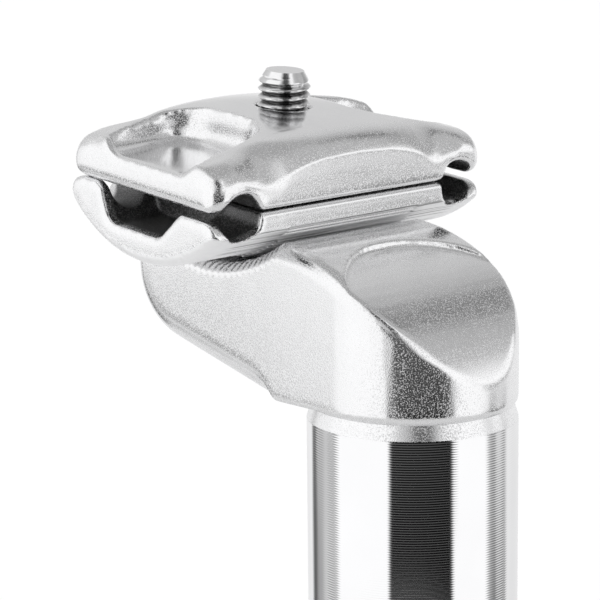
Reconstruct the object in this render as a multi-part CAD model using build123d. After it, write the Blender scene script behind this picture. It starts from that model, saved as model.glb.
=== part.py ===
from build123d import *
import os
from math import atan2, cos, degrees, radians, sin, sqrt, tan

# Bicycle seatpost: a forged one-piece head and tube with a serrated single-bolt saddle clamp.
# Millimetres and degrees. Z runs up the tube, X forward, Y to the rider's left; the origin is
# the centre of the tube's bottom end.

# Tube
TUBE_DIAMETER = 30.9
TUBE_WALL = 2.3
TUBE_LENGTH = 320.0
TUBE_END_CHAMFER = 0.5
BORE_END_BELOW_SHOULDER = 8.0
NECK_DEPTH = 0.8
NECK_HEIGHT = 2.3

# Saddle clamp place and size
SETBACK = 28.0
CLAMP_RISE = 30.0
CLAMP_TILT = 5.5
CLAMP_LENGTH = 33.2
CLAMP_WIDTH = 55.0
PARTING_GAP = 0.5

# Saddle rails
RAIL_DIAMETER = 7.0
RAIL_SPACING = 44.0
RAIL_DROP = 0.45

# Serrated joint between the cradle and the head
CRADLE_RADIUS = 23.4
CRADLE_CENTRE_RISE = 13.5
TONGUE_RISE = 0.55
TONGUE_WIDTH = 26.6
TONGUE_LENGTH = 29.2
TOOTH_PITCH = 1.2
TOOTH_DEPTH = 0.8
TOOTH_CLEARANCE = 0.3
TILT_DOWN = 9.0
TILT_UP = 8.0

# Lower clamp
LOWER_END_RADIUS = 1.6
LOWER_TOP_EDGE_RADIUS = 0.9
NOTCH_INNER_OFFSET = 17.5
NOTCH_DEPTH = 5.2
NOTCH_TOP_FRONT = 9.0
NOTCH_TOP_REAR = 9.2
NOTCH_FLOOR_FRONT = 4.2
NOTCH_FLOOR_REAR = 7.0
NOTCH_FLOOR_RADIUS = 2.0
LIP_DROP = 0.5
LIP_END_RADIUS = 3.2

# Upper clamp
DOME_HEIGHT = 11.0
DOME_RADIUS_ACROSS = 111.0
DOME_RADIUS_ALONG = 80.0
UPPER_LONG_EDGE_RADIUS = 4.4
UPPER_END_RADIUS = 2.6
UPPER_FOOT_EDGE_RADIUS = 0.6
SCOOP_INNER_OFFSET = 10.0
SCOOP_INNER_FRONT = 8.0
SCOOP_INNER_REAR = 11.4
SCOOP_OUTER_FRONT = 10.9
SCOOP_OUTER_REAR = 8.8
SCOOP_FLOOR = 5.0
SCOOP_CORNER_RADIUS = 6.0
SCOOP_FLOOR_RADIUS = 3.6

# Bolt and its curved washer
BOLT_DIAMETER = 7.9
BOLT_TIP_RISE = 16.2
BOLT_TIP_DIAMETER = 5.7
BOLT_TIP_LENGTH = 2.1
BOLT_HEAD_DIAMETER = 13.0
BOLT_HEAD_HEIGHT = 8.0
HEX_KEY = 6.0
HEX_DEPTH = 5.0
BOLT_HOLE_CLEARANCE = 0.4
THREAD_CLEARANCE = 0.1
WASHER_WIDTH = 14.0
WASHER_LENGTH = 14.0
WASHER_THICKNESS = 2.6
WASHER_SEAT_WALL = 3.4

# Forged head
HEAD_REAR = 45.6
HEAD_WIDTH = TUBE_DIAMETER
LAND_BELOW_CLAMP = 6.4
SHOULDER_START = 14.4
FACET_FOOT = 4.7
UNDERSIDE_ANGLE = 14.6
UNDERSIDE_START = 16.2
REAR_RADIUS = 11.5
HEAD_SIDE_RADIUS = 4.5
COLLAR_BACK = 13.4
COLLAR_SLOPE_RUN = 4.6
COLLAR_SLOPE_RISE = 5.4
COLLAR_EDGE_RADIUS = 0.8
RIDGE_RADIUS = 2.2
SEAT_CHAMFER = 1.5
POCKET_CLEARANCE = 0.4
DISH_FORWARD = 1.0
DISH_DROP = 1.3
DISH_LENGTH = 20.0
DISH_WIDTH = 34.0
DISH_FALL = 0.74
DISH_ANGLE = 35.0
DISH_WALL_ANGLE = 40.0

# Worked-out places
TUBE_RADIUS = TUBE_DIAMETER / 2
BORE_RADIUS = TUBE_RADIUS - TUBE_WALL
HALF_HEAD = HEAD_WIDTH / 2
HALF_LENGTH = CLAMP_LENGTH / 2
HALF_WIDTH = CLAMP_WIDTH / 2
HALF_GAP = PARTING_GAP / 2
RAIL_RADIUS = RAIL_DIAMETER / 2
RAIL_SIDE = RAIL_SPACING / 2
CLAMP_HEIGHT = TUBE_LENGTH + CLAMP_RISE
CLAMP_PLACE = Pos(-SETBACK, 0, CLAMP_HEIGHT) * Rot(0, CLAMP_TILT, 0)
LAND_HEIGHT = CLAMP_RISE - LAND_BELOW_CLAMP
SHOULDER_REACH = TUBE_RADIUS + SHOULDER_START
SHOULDER_FALL = LAND_HEIGHT - FACET_FOOT
SHOULDER_RADIUS = (SHOULDER_REACH**2 + SHOULDER_FALL**2) / (2 * SHOULDER_FALL)
SHOULDER_CENTRE_Z = TUBE_LENGTH + LAND_HEIGHT - SHOULDER_RADIUS
PIVOT_X = -SETBACK + CRADLE_CENTRE_RISE * sin(radians(CLAMP_TILT))
PIVOT_Z = CLAMP_HEIGHT + CRADLE_CENTRE_RISE * cos(radians(CLAMP_TILT))
TONGUE_RADIUS = CRADLE_RADIUS + TONGUE_RISE
SEAT_RADIUS = TONGUE_RADIUS + TOOTH_CLEARANCE
SEAT_ROOT_RADIUS = SEAT_RADIUS + TOOTH_DEPTH
WASHER_SEAT_RADIUS = SEAT_ROOT_RADIUS + WASHER_SEAT_WALL
WASHER_TOP_RADIUS = WASHER_SEAT_RADIUS + TOOTH_CLEARANCE
BOLT_HEAD_TOP = CRADLE_CENTRE_RISE - WASHER_TOP_RADIUS - WASHER_THICKNESS


def side_prism(edges, half_width):
    """A closed outline in the X-Z plane, extruded both ways along Y."""
    face = Plane.XZ * make_face(edges)
    return extrude(face, amount=half_width, both=True)


def zigzag(radius_a, radius_b, half_angle, pitch_angle):
    """Points of a row of teeth about the local origin, swinging either side of straight down."""
    steps = int(half_angle / pitch_angle) * 2
    points = []
    for i in range(-steps, steps + 1):
        angle = radians(i * pitch_angle / 2)
        radius = radius_a if i % 2 == 0 else radius_b
        points.append((radius * sin(angle), -radius * cos(angle)))
    return points


TOOTH_ANGLE = degrees(TOOTH_PITCH / TONGUE_RADIUS)


def rail_grooves():
    """Two rods, one per saddle rail, in the clamp's own frame."""
    rods = [
        Pos(0, side * RAIL_SIDE, -RAIL_DROP) * Rot(0, 90, 0) * Cylinder(RAIL_RADIUS, CLAMP_LENGTH + 4)
        for side in (-1, 1)
    ]
    return rods[0] + rods[1]


def lower_clamp():
    """Half-moon cradle under the rails, serrated below, with a notch in the middle of each wing."""
    centre = CRADLE_CENTRE_RISE
    corner = centre - sqrt(CRADLE_RADIUS**2 - HALF_LENGTH**2)
    outline = [
        Line((-HALF_LENGTH, -HALF_GAP), (HALF_LENGTH, -HALF_GAP)),
        Line((HALF_LENGTH, -HALF_GAP), (HALF_LENGTH, corner)),
        ThreePointArc((HALF_LENGTH, corner), (0, centre - CRADLE_RADIUS), (-HALF_LENGTH, corner)),
        Line((-HALF_LENGTH, corner), (-HALF_LENGTH, -HALF_GAP)),
    ]
    body = side_prism(outline, HALF_WIDTH)
    end_edges = body.edges().filter_by(lambda e: abs(abs(e.center().Y) - HALF_WIDTH) < 0.01)
    end_edges = end_edges.filter_by(lambda e: e.center().Z < -HALF_GAP - 0.1)
    body = fillet(end_edges, LOWER_END_RADIUS)
    body = fillet(body.faces().sort_by(Axis.Z)[-1].edges(), LOWER_TOP_EDGE_RADIUS)

    # Serrated tongue across the middle of the curved underside
    teeth = zigzag(TONGUE_RADIUS, TONGUE_RADIUS - TOOTH_DEPTH, 46, TOOTH_ANGLE)
    bare = TONGUE_RADIUS - TOOTH_DEPTH - 0.5
    inner = [(0.8 * x, 0.8 * y) for x, y in (teeth[-1], (0, -bare), teeth[0])]
    tongue = Plane.XZ * Pos(0, centre) * make_face(Polyline(*teeth, *inner, close=True))
    tongue = extrude(tongue, amount=TONGUE_WIDTH / 2, both=True)
    strip = Pos(0, 0, -10 - HALF_GAP - LOWER_TOP_EDGE_RADIUS) * Box(TONGUE_LENGTH, TONGUE_WIDTH, 20)
    tongue &= strip
    ring = Pos(0, 0, centre) * Rot(90, 0, 0) * Cylinder(bare, TONGUE_WIDTH)
    body = body - (strip - ring) + tongue

    body -= rail_grooves()
    notch = Polygon(
        (-NOTCH_TOP_REAR, 4),
        (-NOTCH_TOP_REAR, -HALF_GAP),
        (-NOTCH_FLOOR_REAR, -NOTCH_DEPTH),
        (NOTCH_FLOOR_FRONT, -NOTCH_DEPTH),
        (NOTCH_TOP_FRONT, -HALF_GAP),
        (NOTCH_TOP_FRONT, 4),
        align=None,
    )
    notch = fillet(notch.vertices().group_by(Axis.Y)[0], NOTCH_FLOOR_RADIUS)
    lip_top = Pos(0, -HALF_GAP - LIP_DROP - 5) * Rectangle(CLAMP_LENGTH, 10)
    lip_top = fillet(lip_top.vertices().group_by(Axis.Y)[-1], LIP_END_RADIUS)
    lip_cut = Rectangle(CLAMP_LENGTH + 2, 10) - lip_top
    for side in (-1, 1):
        wing = Plane((0, side * NOTCH_INNER_OFFSET, 0), x_dir=(1, 0, 0), z_dir=(0, -1, 0))
        body -= extrude(wing * notch, amount=-side * HALF_WIDTH)
        lip = Plane((0, side * RAIL_SIDE, 0), x_dir=(1, 0, 0), z_dir=(0, -1, 0))
        body -= extrude(lip * lip_cut, amount=-side * HALF_WIDTH)
    body -= Cylinder(BOLT_DIAMETER / 2 + BOLT_HOLE_CLEARANCE, 60)
    return body


def upper_clamp():
    """Domed top half of the clamp with a scoop in each wing and a threaded middle."""
    block = Pos(0, 0, HALF_GAP) * extrude(Rectangle(CLAMP_LENGTH, CLAMP_WIDTH), amount=DOME_HEIGHT + 4)
    half = HALF_WIDTH + 2
    edge_height = DOME_HEIGHT - DOME_RADIUS_ACROSS + sqrt(DOME_RADIUS_ACROSS**2 - half**2)
    top = [
        Line((-half, -DOME_HEIGHT), (half, -DOME_HEIGHT)),
        Line((half, -DOME_HEIGHT), (half, edge_height)),
        ThreePointArc((half, edge_height), (0, DOME_HEIGHT), (-half, edge_height)),
        Line((-half, edge_height), (-half, -DOME_HEIGHT)),
    ]
    section = Plane.YZ * make_face(top)
    axis = Axis((0, 0, DOME_HEIGHT - DOME_RADIUS_ALONG), (0, 1, 0))
    body = block & revolve(section.rotate(axis, -30), axis, 60)
    top_edges = body.faces().sort_by(Axis.Z)[-1].edges().sort_by(Axis.X)
    body = fillet([top_edges[0], top_edges[-1]], UPPER_LONG_EDGE_RADIUS)
    end_edges = body.edges().filter_by(lambda e: abs(abs(e.center().Y) - HALF_WIDTH) < 0.01)
    end_edges = end_edges.filter_by(lambda e: e.center().Z > HALF_GAP + 0.1)
    body = fillet(end_edges, UPPER_END_RADIUS)
    foot_edges = body.faces().sort_by(Axis.Z)[0].edges()
    body = fillet(foot_edges, UPPER_FOOT_EDGE_RADIUS)

    grow = (HALF_WIDTH + 10 - SCOOP_INNER_OFFSET) / (HALF_WIDTH - SCOOP_INNER_OFFSET)
    far_front = SCOOP_INNER_FRONT + grow * (SCOOP_OUTER_FRONT - SCOOP_INNER_FRONT)
    far_rear = SCOOP_INNER_REAR + grow * (SCOOP_OUTER_REAR - SCOOP_INNER_REAR)
    plan = Polygon(
        (-SCOOP_INNER_REAR, SCOOP_INNER_OFFSET),
        (SCOOP_INNER_FRONT, SCOOP_INNER_OFFSET),
        (far_front, HALF_WIDTH + 10),
        (-far_rear, HALF_WIDTH + 10),
        align=None,
    )
    plan = fillet(plan.vertices().group_by(Axis.Y)[0], SCOOP_CORNER_RADIUS)
    scoop = Pos(0, 0, SCOOP_FLOOR) * extrude(plan, amount=20)
    floor_edges = scoop.faces().sort_by(Axis.Z)[0].edges().sort_by(Axis.Y)[:-1]
    scoop = fillet(floor_edges, SCOOP_FLOOR_RADIUS)
    body -= scoop
    body -= mirror(scoop, Plane.XZ)

    body -= rail_grooves()
    body -= Cylinder(BOLT_DIAMETER / 2 + THREAD_CLEARANCE, 60)
    return body


def clamp_bolt():
    """Socket-head bolt from below, with a turned lead at its tip."""
    radius = BOLT_DIAMETER / 2
    head = BOLT_HEAD_TOP
    shank = Pos(0, 0, (BOLT_TIP_RISE - BOLT_TIP_LENGTH + head) / 2)
    bolt = shank * Cylinder(radius, BOLT_TIP_RISE - BOLT_TIP_LENGTH - head)
    lead = Cone(radius, BOLT_TIP_DIAMETER / 2, BOLT_TIP_LENGTH)
    bolt += Pos(0, 0, BOLT_TIP_RISE - BOLT_TIP_LENGTH / 2) * lead
    cap = Cylinder(BOLT_HEAD_DIAMETER / 2, BOLT_HEAD_HEIGHT)
    cap = fillet(cap.edges().sort_by(Axis.Z)[0], 0.8)
    bolt += Pos(0, 0, head - BOLT_HEAD_HEIGHT / 2) * cap
    socket = extrude(RegularPolygon(HEX_KEY / 2, 6, major_radius=False), amount=HEX_DEPTH)
    return bolt - Pos(0, 0, head - BOLT_HEAD_HEIGHT) * socket


def bolt_washer():
    """Washer with a hollow top that swings on the rounded roof of the head's pocket."""
    top = CRADLE_CENTRE_RISE - WASHER_TOP_RADIUS
    blank = Box(WASHER_LENGTH, WASHER_WIDTH, WASHER_THICKNESS * 2)
    blank = Pos(0, 0, BOLT_HEAD_TOP + WASHER_THICKNESS) * blank
    round_top = Pos(0, 0, CRADLE_CENTRE_RISE) * Rot(90, 0, 0) * Cylinder(WASHER_TOP_RADIUS, WASHER_WIDTH + 2)
    hole = Cylinder(BOLT_DIAMETER / 2 + BOLT_HOLE_CLEARANCE, 80)
    return blank - round_top - hole


def tube():
    """Hollow turned tube with a shallow neck under the head."""
    bore_end = TUBE_LENGTH - BORE_END_BELOW_SHOULDER
    neck = TUBE_LENGTH - NECK_HEIGHT
    top = TUBE_LENGTH + 1
    outer = TUBE_RADIUS
    inner = BORE_RADIUS
    chamfer_size = TUBE_END_CHAMFER
    section = make_face(
        [
            Line((inner, 0), (outer - chamfer_size, 0)),
            Line((outer - chamfer_size, 0), (outer, chamfer_size)),
            Line((outer, chamfer_size), (outer, neck)),
            Line((outer, neck), (outer - NECK_DEPTH, neck + NECK_DEPTH)),
            Line((outer - NECK_DEPTH, neck + NECK_DEPTH), (outer - NECK_DEPTH, top)),
            Line((outer - NECK_DEPTH, top), (0, top)),
            Line((0, top), (0, bore_end)),
            ThreePointArc(
                (0, bore_end),
                (inner * sin(radians(45)), bore_end - inner * (1 - cos(radians(45)))),
                (inner, bore_end - inner),
            ),
            Line((inner, bore_end - inner), (inner, 0)),
        ]
    )
    return revolve(Plane.XZ * section, Axis.Z)


def head():
    """Forged head: a shoulder over the tube, an overhang behind it and a flat land on top."""
    top = TUBE_LENGTH + LAND_HEIGHT
    slope = tan(radians(UNDERSIDE_ANGLE))
    front = -SHOULDER_START
    rear_low = TUBE_LENGTH + slope * (HEAD_REAR - UNDERSIDE_START)
    front_low = TUBE_LENGTH - slope * (UNDERSIDE_START + front)
    overhang = side_prism(
        [
            Line((front, front_low), (front, top)),
            Line((front, top), (-HEAD_REAR, top)),
            Line((-HEAD_REAR, top), (-HEAD_REAR, rear_low)),
            Line((-HEAD_REAR, rear_low), (front, front_low)),
        ],
        HALF_HEAD,
    )
    rear_edge = overhang.edges().filter_by(Axis.Y).sort_by(Axis.X)[:2].sort_by(Axis.Z)[0]
    overhang = fillet(rear_edge, REAR_RADIUS)
    side_edges = overhang.edges().filter_by(lambda e: abs(abs(e.center().Y) - HALF_HEAD) < 0.01)
    side_edges = side_edges.filter_by(
        lambda e: e.center().Z < top - 0.1 and e.center().X < front - 0.1
    )
    overhang = fillet(side_edges, HEAD_SIDE_RADIUS)

    # Collar block over the tube, as wide as the head, with its back sloping up into the overhang
    front_z = TUBE_LENGTH + FACET_FOOT
    middle = atan2(SHOULDER_FALL, SHOULDER_REACH)
    arc_middle = (
        front + SHOULDER_RADIUS * sin(middle),
        SHOULDER_CENTRE_Z + SHOULDER_RADIUS * cos(middle),
    )
    slope_top = (-COLLAR_BACK - COLLAR_SLOPE_RUN, TUBE_LENGTH + COLLAR_SLOPE_RISE)
    collar = side_prism(
        [
            Line((TUBE_RADIUS, TUBE_LENGTH), (TUBE_RADIUS, front_z)),
            ThreePointArc((TUBE_RADIUS, front_z), arc_middle, (front, top)),
            Line((front, top), (slope_top[0], top)),
            Line((slope_top[0], top), slope_top),
            Line(slope_top, (-COLLAR_BACK, TUBE_LENGTH)),
            Line((-COLLAR_BACK, TUBE_LENGTH), (TUBE_RADIUS, TUBE_LENGTH)),
        ],
        HALF_HEAD,
    )
    plan = Pos(-HEAD_REAR, 0) * Rectangle(2 * HEAD_REAR, HEAD_WIDTH) + Circle(TUBE_RADIUS)
    envelope = Pos(0, 0, TUBE_LENGTH) * extrude(plan, amount=LAND_HEIGHT + 5)
    body = (overhang + collar) & envelope
    shoulder = body.faces().filter_by(GeomType.CYLINDER)
    shoulder = shoulder.sort_by(lambda f: abs(f.radius - SHOULDER_RADIUS))[0]
    ridge = shoulder.edges().filter_by(lambda e: abs(e.center().Y) > 1 or e.center().X > 10)
    body = fillet(ridge, RIDGE_RADIUS)
    foot = body.faces().sort_by(Axis.Z)[0].edges().filter_by(lambda e: e.center().X > -COLLAR_BACK + 0.1)
    return fillet(foot, COLLAR_EDGE_RADIUS)


def dish():
    """Shallow hollow in the sloping shoulder, ending in an arch at its top."""
    floor = Pos(-SHOULDER_START + DISH_FORWARD, 0, SHOULDER_CENTRE_Z - DISH_DROP) * Rot(90, 0, 0)
    floor = floor * Cylinder(SHOULDER_RADIUS, 2 * DISH_WIDTH)
    down = DISH_FALL * 2 * atan2(SHOULDER_FALL, SHOULDER_REACH)
    centre_x = -SHOULDER_START + SHOULDER_RADIUS * sin(down)
    centre_z = SHOULDER_CENTRE_Z + SHOULDER_RADIUS * cos(down)
    place = Pos(centre_x, 0, centre_z) * Rot(0, DISH_ANGLE, 0)
    sunk = 6.0
    inset = sunk * tan(radians(DISH_WALL_ANGLE))
    arch = Ellipse(DISH_LENGTH - inset, DISH_WIDTH / 2 - inset)
    cutter = Pos(0, 0, -sunk) * extrude(arch, amount=2 * sunk, taper=-DISH_WALL_ANGLE)
    cutter += Pos(DISH_LENGTH / 2, 0, 0) * Box(DISH_LENGTH, DISH_WIDTH, 2 * sunk)
    return place * cutter - floor


def seat_cutter():
    """What the cradle swings in: a toothed trough with bevelled sides, about the tilt axis."""
    teeth = zigzag(SEAT_ROOT_RADIUS, SEAT_RADIUS, 50, TOOTH_ANGLE)
    trough = Plane.XZ * make_face(Polyline(*teeth, (0, 0), close=True))
    trough = extrude(trough, amount=HALF_HEAD + 2, both=True)
    flare = SEAT_CHAMFER + 2
    bevel = Cone(SEAT_RADIUS, SEAT_RADIUS + flare, flare)
    for side in (-1, 1):
        place = Pos(0, side * (HALF_HEAD - SEAT_CHAMFER + flare / 2), 0) * Rot(-90 * side, 0, 0)
        trough += place * bevel
    return Pos(PIVOT_X, 0, PIVOT_Z) * trough


def swing_slot(half_width, half_reach, near, far):
    """A slot through which something along the bolt can swing over the whole tilt range."""
    nose_down = radians(CLAMP_TILT + TILT_DOWN)
    nose_up = radians(CLAMP_TILT - TILT_UP)

    def at(angle, along, across):
        return (
            -along * sin(angle) + across * cos(angle),
            -along * cos(angle) - across * sin(angle),
        )

    outline = Polyline(
        at(nose_up, near, half_reach),
        at(nose_up, far, half_reach),
        at(nose_down, far, -half_reach),
        at(nose_down, near, -half_reach),
        close=True,
    )
    slot = extrude(Plane.XZ * make_face(outline), amount=half_width, both=True)
    return Pos(PIVOT_X, 0, PIVOT_Z) * slot


def seatpost_body():
    """Head and tube are one forging, so they are one solid."""
    body = head() - dish() + tube()
    body -= seat_cutter()
    bolt_reach = BOLT_DIAMETER / 2 + BOLT_HOLE_CLEARANCE
    body -= swing_slot(bolt_reach, bolt_reach, 0, WASHER_SEAT_RADIUS + 5)
    washer_reach = WASHER_WIDTH / 2 + POCKET_CLEARANCE
    pocket = swing_slot(washer_reach, washer_reach, 0, 60)
    roof = Pos(PIVOT_X, 0, PIVOT_Z) * Rot(90, 0, 0) * Cylinder(WASHER_SEAT_RADIUS, WASHER_WIDTH * 2)
    return body - (pocket - roof)


def main():
    pieces = {
        "seatpost_body": seatpost_body(),
        "lower_clamp": CLAMP_PLACE * lower_clamp(),
        "upper_clamp": CLAMP_PLACE * upper_clamp(),
        "clamp_bolt": CLAMP_PLACE * clamp_bolt(),
        "bolt_washer": CLAMP_PLACE * bolt_washer(),
    }
    os.makedirs("parts", exist_ok=True)
    for name, piece in pieces.items():
        export_step(piece, f"parts/{name}.step")


main()
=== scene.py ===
"""Looks of a polished bicycle seatpost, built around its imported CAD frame.

Lengths are in millimetres and angles in degrees, unless a line says otherwise. A name that
ends in _FADE holds a pair: where a soft change starts and where it ends. Sizes of the clamp
are in its own frame: along the rails, across to the side, and up along the bolt.
"""

import math
from collections import namedtuple

import bmesh
import bpy
import numpy as np
from mathutils import Matrix, Vector


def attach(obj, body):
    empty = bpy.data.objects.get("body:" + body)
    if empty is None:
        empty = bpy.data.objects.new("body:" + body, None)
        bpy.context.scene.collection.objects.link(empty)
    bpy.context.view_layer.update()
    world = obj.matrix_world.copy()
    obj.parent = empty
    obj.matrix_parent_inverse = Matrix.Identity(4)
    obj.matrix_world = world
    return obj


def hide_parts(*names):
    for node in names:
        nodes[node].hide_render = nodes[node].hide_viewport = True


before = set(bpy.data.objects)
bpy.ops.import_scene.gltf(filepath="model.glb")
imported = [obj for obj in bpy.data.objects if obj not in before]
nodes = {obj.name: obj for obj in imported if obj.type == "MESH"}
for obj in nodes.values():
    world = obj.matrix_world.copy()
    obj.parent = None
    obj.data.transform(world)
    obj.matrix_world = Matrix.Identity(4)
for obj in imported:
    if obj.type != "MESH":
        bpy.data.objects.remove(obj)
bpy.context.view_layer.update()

MM = 0.001

# Camera, at the photograph's viewing angle
CAMERA_PLACE = Vector((258.8107, -265.3716, 412.2371)) * MM
CAMERA_YAW = 46.7936
CAMERA_PITCH = 11.7839
CAMERA_ROLL = -0.5966
CAMERA_LENS = 156.97
CAMERA_SENSOR = 36.0
CAMERA_NEAR = 10.0

# Clamp frame: its origin on the bolt's axis at the parting plane, tilted about Y
CLAMP_ORIGIN = Vector((-28, 0, 350)) * MM
CLAMP_TILT = math.radians(5.5)

# Both clamp halves
HALF_LENGTH = 16.6
HALF_WIDTH = 27.5
RAIL_SIDE = 22.0
RAIL_DROP = 0.45
CLAMP_VOXEL = 0.26
CLAMP_END_FADE = (23.0, 25.5)

# Upper clamp: soft edges, and lower corners that are rounded more
UPPER_FOOT = 0.25
TOE_RADIUS = 1.5
KNOB_RADIUS = 3.0
KNOB_FADE = (RAIL_SIDE + 0.5, RAIL_SIDE + 3.0)
UPPER_EDGE_FADE = (12.5, 15.5)
UPPER_ROUNDS = 11
UPPER_EDGE_ROUNDS = 14

# Upper clamp: dome with two scoops
DOME_TOP = 11.0
DOME_ALONG = 80.0
DOME_ACROSS = 111.0
SCOOP_FLOOR = 5.0
SCOOP_COVE = 1.8
SCOOP_LEAN = 0.8
SCOOP_INNER_FADE = (8.5, 9.5)
SCOOP_OUTER_FADE = (25.6, 26.4)
SCOOP_LENGTH_FADE = (11.6, 12.4)
SCOOP_DEPTH_FADE = (0.0, 0.8)
SCOOP_UP_FADE = (3.6, 4.2)
SCOOP_COVE_FADE = (4.6, 4.9)
SCOOP_LEAN_FADE = (10.5, 13.5)
SCOOP_ROUNDS = 18

# Upper clamp: flat faces under a crest, which is given as (across, up)
CREST = (
    (0, 6.8), (7, 6.5), (10, 6.0), (12, 5.5), (14, 4.8), (15.5, 4.0), (17, 3.3), (18.5, 3.2),
    (20, 3.7), (21.5, 4.2), (23, 4.4), (28, 4.5),
)
CREST_FOOT = 0.5
FACE_START = 10.4
FACE_REACH = 14.0
FACE_POWER = 1.52
FACE_POWER_LIMITS = (1.2, 6.0)
FACE_FILL_FADE = (14.5, 17.0)
FACE_END_FADE = (22.0, 25.0)
FACE_SKIN_START = 12.3
FACE_SKIN_DEPTH = 0.35
FACE_HALVINGS = 30
FACE_ROUNDS = 3
SEAM_DROP = 0.3
SEAM_UP_FADE = (0.3, 0.9)
SEAM_ALONG_FADE = (15.2, 16.0)
SEAM_ROUNDS = 20
VALLEY_INNER_FADE = (13.5, 16.0)
VALLEY_OUTER_FADE = (19.5, 22.5)
VALLEY_ALONG_FADE = (8.5, 10.5)
VALLEY_UP_FADE = (1.6, 3.0)
VALLEY_ROUNDS = 40

# Lower clamp: a toothed cradle round a centre above the clamp's origin, with two wings
CRADLE_RADIUS = 23.4
CRADLE_CENTRE = 13.5
TOOTH_PITCH = 1.2
WING_FADE = (13.6, 15.5)
WING_ROUNDS = 8
WING_END_ROUNDS = 10
TONGUE_SHARE = 0.12
LIP_RISE = 1.1
LIP_SIDE_FADE = (22.0, 24.5)
LIP_REAR_FADE = (8.0, 11.0)
LIP_UP_FADE = (-4.0, -1.0)
FLAT_RISE = 0.3
FLAT_SIDE_FADE = (18.2, 19.4)
FLAT_UP_FADE = (-2.2, -0.5)
LAST_TOOTH_TURN = 41.4
LAST_TOOTH_DEPTH = 0.4
LAST_TOOTH_END_FADE = (45.0, 46.0)
LAST_TOOTH_SKIN_FADE = (CRADLE_RADIUS - 0.5, CRADLE_RADIUS - 0.3)
LAST_TOOTH_SIDE_FADE = (12.6, 13.6)

# Head of the post; dish and rim are placed in the part's own frame
HEAD_VOXEL = 0.34
HEAD_BOTTOM = 319.4
HEAD_ROUNDS = 8
SEAT_FADE = (25.6, 27.0)
SEAT_SHARE = 0.12
DISH_SHARE = 0.75
DISH_AHEAD_FADE = (-13.0, -11.0)
DISH_UP_FADE = (326.0, 329.0)
RIM_SPREAD = 30
RIM_BEND_FADE = (0.02, 0.08)
RIM_AHEAD_FADE = (8.5, 12.0)
RIM_UP_FADE = (323.0, 325.0)
RIM_ROUNDS = 60
POCKET_ROOM = 0.25
POCKET_ALONG_FADE = (12.5, 14.0)
POCKET_SIDE_FADE = (8.0, 9.0)
POCKET_DEPTH_FADE = (27.8, 28.3)
POCKET_WALL_FADE = (5.5, 6.5)
POCKET_END_FADE = (7.5, 9.0)
POCKET_ROOF_FADE = (29.0, 29.6)

# Turned tube
TUBE_RADIUS = 15.45
TUBE_TOP = 320.0
TUBE_CHAMFER = 0.5
TUBE_ROWS = 12
TUBE_AROUND = 192
TUBE_SHARP = 12
TURNED_PITCH = 0.36
TURNED_HEIGHT = 0.005
TURNED_END = 317.7
TURNED_END_FADE = (TURNED_END - 0.2, TURNED_END)
NECK_INSET = 0.7
NECK_OVERLAP = 0.4
BORE_RADIUS = 13.15
BORE_END = 312.0
BORE_ROWS = 12

# M8 bolt, along the clamp's own axis
BOLT_AROUND = 72
BOLT_SHARP = 32
BOLT_HEAD_TOP = -17.85
BOLT_HEAD_END = -25.85
BOLT_HEAD_RADIUS = 6.5
BOLT_HEAD_BEVEL = 0.3
BOLT_HEAD_RIM = ((0.7, 0.0), (0.2, 0.2), (0.0, 0.7))  # (inset, rise) of its rounded lower rim
HEX_KEY = 6.0
HEX_DEPTH = 5.0
HEX_CHAMFER = 0.35
HEX_FLARE = 0.3
HEX_CONE = 1.2
THREAD_PITCH = 1.25
THREAD_CREST = 3.95
THREAD_ROOT = 3.3
THREAD_FLAT = 0.12
THREAD_START = -6.0
THREAD_LEAD = 1.0
THREAD_RUN_OUT = 2.0
THREAD_STEPS = 10
BOLT_TIP = 16.2
BOLT_TIP_CONE = 1.8
BOLT_TIP_RADIUS = 2.85
BOLT_TIP_STEP = 0.5
BOLT_CENTRE = 0.05

# Forged finish: fine, rough, bright pits in a smoother skin; noise scales are per metre
PIT_SCALE = 5000.0
PIT_FADE = (0.36, 0.51)
PIT_TONE = 0.98
PIT_ROUGHNESS = 0.48
PIT_HEIGHT = 0.012
SKIN_SCALE = 210.0
SKIN_TONES = (0.87, 0.95)
SKIN_ROUGHNESS = 0.12
SKIN_UNEVENNESS = 0.05
PATCH_SCALE = 120.0
PATCH_FADE = (0.2, 0.6)
DULL_ROUGHNESS = 0.26
LINE_TONE = 0.35
# Painted shade in the clamps' hollows: a dark base colour that covers less over the bright pits;
# the unpolished metal there is also rougher
PAINTED_SHADE_TONE = 0.08
PAINTED_SHADE_COVER = 0.94
PAINTED_SHADE_PIT_COVER = 0.64
UNPOLISHED_ROUGHNESS = 0.2

# Where each forging is polished, darkened with painted shade in its hollows, streaked or combed
# by its last teeth
DOME_FACING_FADE = (0.955, 0.992)
DOME_GRAIN = 0.1
RAIL_GROOVE_FADE = (3.55, 3.8)
MOUTH_FADE = (HALF_LENGTH - 1.2, HALF_LENGTH - 0.3)
NOTCH_FADE = (CRADLE_RADIUS - 1.6, CRADLE_RADIUS - 0.9)
NOTCH_SIDE_FADE = (25.4, 26.4)
LOWER_GRAIN = 0.75
UNDER_FACING_FADE = (-0.3, 0.0)
UNDER_GRAIN = 0.3
UNDER_METALLIC = 0.45
STREAK_SCALE = 1500.0
STREAK_STRETCH = 0.012
STREAK_HEIGHT = 0.2
STREAK_FADE = (0.36, 0.46)
STREAK_SIDE_FADE = (21.0, 24.0)
HEAD_GRAIN = 0.7
COMB_HEIGHT = 0.12
COMB_BEND = 1.6
COMB_FADE = (CRADLE_RADIUS + 0.7, CRADLE_RADIUS + 3.4)
COMB_SIDE_FADE = (13.2, 14.2)

# Turned finish of the tube, with a pitted neck
TUBE_SCALE = 90.0
TUBE_TONES = (0.9, 0.96)
TUBE_ROUGHNESS = 0.06
NECK_SCALE = 4600.0
NECK_FADE = (0.4, 0.52)
NECK_ROUGHNESS = 0.1
NECK_PIT_ROUGHNESS = 0.38

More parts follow.
